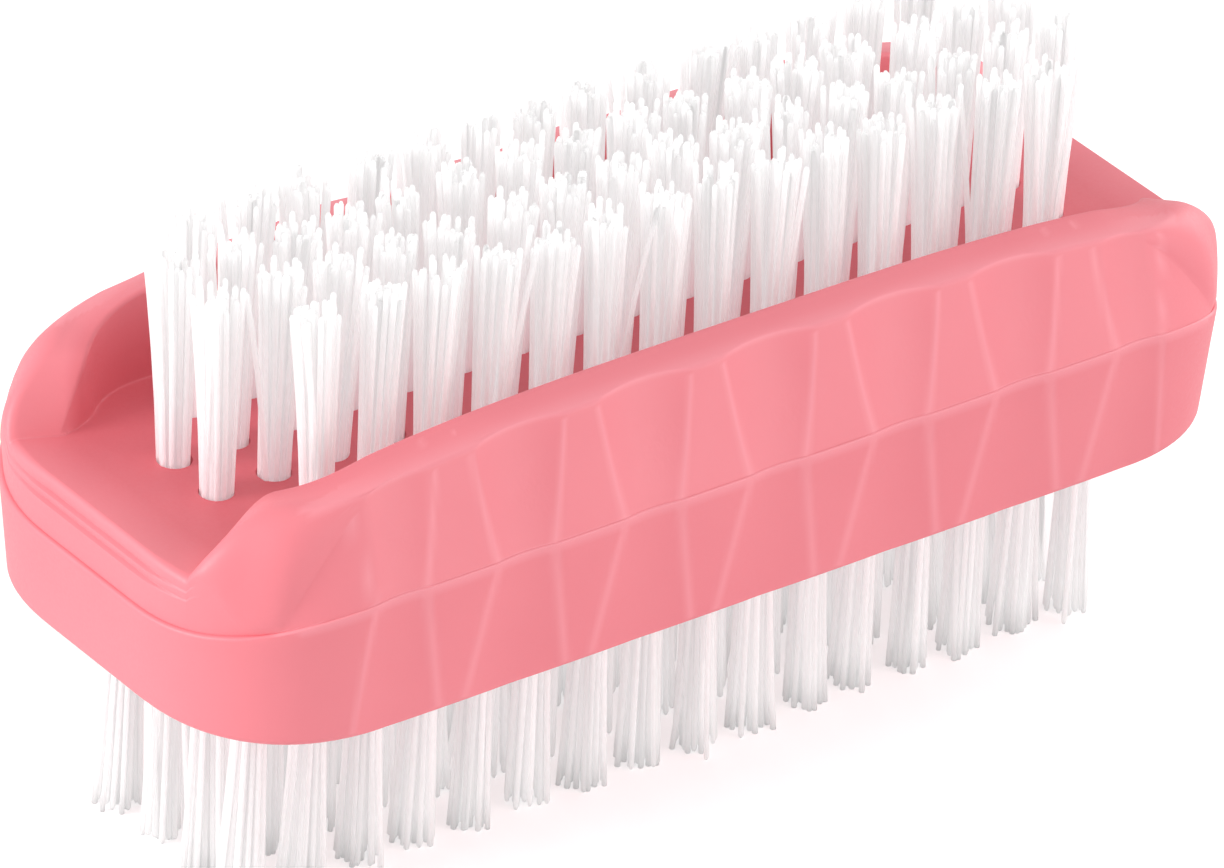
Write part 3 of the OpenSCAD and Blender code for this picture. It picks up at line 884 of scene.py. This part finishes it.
dress(upper_moulding, pink_plastic, "pink_plastic", "upper_body")
dress(lower_moulding, pink_plastic, "pink_plastic", "lower_body")
for solid, piece in bristle_rows.items():
    dress(piece, nylon, "bristle_nylon", solid)
for name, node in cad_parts.items():
    if "anchor" in name:
        for slot in node.material_slots:
            slot.material = anchor_brass
print("pieces that replace a solid:", 2 + len(bristle_rows))

# %% [markdown]
# ## Floor, lamps and camera
# A pale floor and an even white surround make the plain studio of the photograph. A plain grey
# backdrop could do the same, but white all round also gives the satin plastic its soft shine. The
# camera sees both a little brighter than they light the brush.

# %% Floor
FLOOR_SIZE, FLOOR_GLOW = 6, 0.36
bpy.ops.object.select_all(action="DESELECT")
bpy.ops.mesh.primitive_plane_add(size=FLOOR_SIZE)
floor = bpy.context.object
floor.name = "studio_floor"
paper, nodes, links, shader = new_finish("studio_paper")
fibres = noise(nodes, links, scale=250, detail=2)
pale = between(nodes, links, fibres, PAPER_DARK, PAPER_LIGHT)
links.new(pale.outputs["Color"], shader.inputs["Base Color"])
shader.inputs["Roughness"].default_value = 0.9
seen = nodes.new("ShaderNodeLightPath").outputs["Is Camera Ray"]
shader.inputs["Emission Color"].default_value = (1, 1, 1, 1)
links.new(spread(nodes, links, seen, 0.0, FLOOR_GLOW), shader.inputs["Emission Strength"])
floor.data.materials.append(paper)
print(floor.name, "is", FLOOR_SIZE, "m wide")

# %% Surround
SURROUND = 0.54
world = bpy.data.worlds.new("studio_surround")
bpy.context.scene.world = world
world.use_nodes = True
nodes, links = world.node_tree.nodes, world.node_tree.links
sky = nodes["Background"]
path = nodes.new("ShaderNodeLightPath")
seen = path.outputs["Is Camera Ray"]
for ray in ("Is Glossy Ray", "Is Transmission Ray"):
    either = nodes.new("ShaderNodeMath")
    either.operation = "MAXIMUM"
    links.new(seen, either.inputs[0])
    links.new(path.outputs[ray], either.inputs[1])
    seen = either.outputs["Value"]
links.new(spread(nodes, links, seen, SURROUND, 1.0), sky.inputs["Strength"])
sky.inputs["Color"].default_value = (1, 1, 1, 1)
print("the surround lights with", SURROUND, "and shows as 1")

# %% [markdown]
# ### Lamps
# The left end is the brightest face in the photograph and the shadows are soft. One small lamp
# would throw hard ones, so four big soft panels are used: a strong one off the left end, and
# weaker ones in front, off the far end and above.

# %% Lamps
LAMP_AIM = Vector((0, 0, 0.03))
PANELS = {"end_panel": ((-1.0, 0.3, 0.3), 0.5, 8.4), "front_panel": ((0.55, -0.85, 0.3), 0.6, 3.5),
          "far_end_panel": ((1.0, 0.1, 0.25), 0.5, 2.6), "top_panel": ((0.0, -0.3, 1.0), 0.6, 1.5)}
for name, (place, size, watts) in PANELS.items():
    lamp = bpy.data.lights.new(name, "AREA")
    lamp.shape, lamp.size, lamp.energy = "SQUARE", size, watts
    holder = bpy.data.objects.new(name, lamp)
    bpy.context.collection.objects.link(holder)
    holder.location = place
    holder.rotation_euler = (LAMP_AIM - Vector(place)).to_track_quat("-Z", "Y").to_euler()
    print(name, "at", place, "with", watts, "W")

# %% [markdown]
# ### Camera
# The camera could be set by eye, but then nothing in the picture can be compared with care. Its
# place was solved from points of known form instead, such as the seam and the grid of tufts: a long
# lens looks down by about 31 degrees, from about 38 degrees left of the long side, and is rolled by
# three degrees.

# %% Camera
AZIMUTH, ELEVATION, ROLL = math.radians(-37.839), math.radians(30.861), math.radians(2.9015)
FOCAL_PIXELS, FRAME_WIDTH, SENSOR_WIDTH = 12870.5, 1224, 36
SHIFT_RIGHT, SHIFT_UP, DISTANCE = -0.41, -5.96, 915.28
level_right = Vector((math.cos(AZIMUTH), math.sin(AZIMUTH), 0))
level_back = Vector((math.sin(AZIMUTH), -math.cos(AZIMUTH), 0))
back = math.cos(ELEVATION) * level_back + math.sin(ELEVATION) * Vector((0, 0, 1))
level_up = back.cross(level_right)
right = math.cos(ROLL) * level_right + math.sin(ROLL) * level_up
up = -math.sin(ROLL) * level_right + math.cos(ROLL) * level_up
lens = bpy.data.cameras.new("photo_camera")
lens.sensor_width = SENSOR_WIDTH
lens.lens = FOCAL_PIXELS * SENSOR_WIDTH / FRAME_WIDTH
lens.clip_start, lens.clip_end = 0.05, 20
camera = bpy.data.objects.new("photo_camera", lens)
bpy.context.collection.objects.link(camera)
place = (right * SHIFT_RIGHT + up * SHIFT_UP + back * DISTANCE + Vector((0, 0, SEAM_Z))) * MM
turned = Matrix((right, up, back)).transposed().to_4x4()
camera.matrix_world = Matrix.Translation(place) @ turned
bpy.context.scene.camera = camera
bpy.context.scene.view_settings.view_transform = "Standard"
print("camera at:", [round(v, 4) for v in place], "lens:", round(lens.lens, 1))
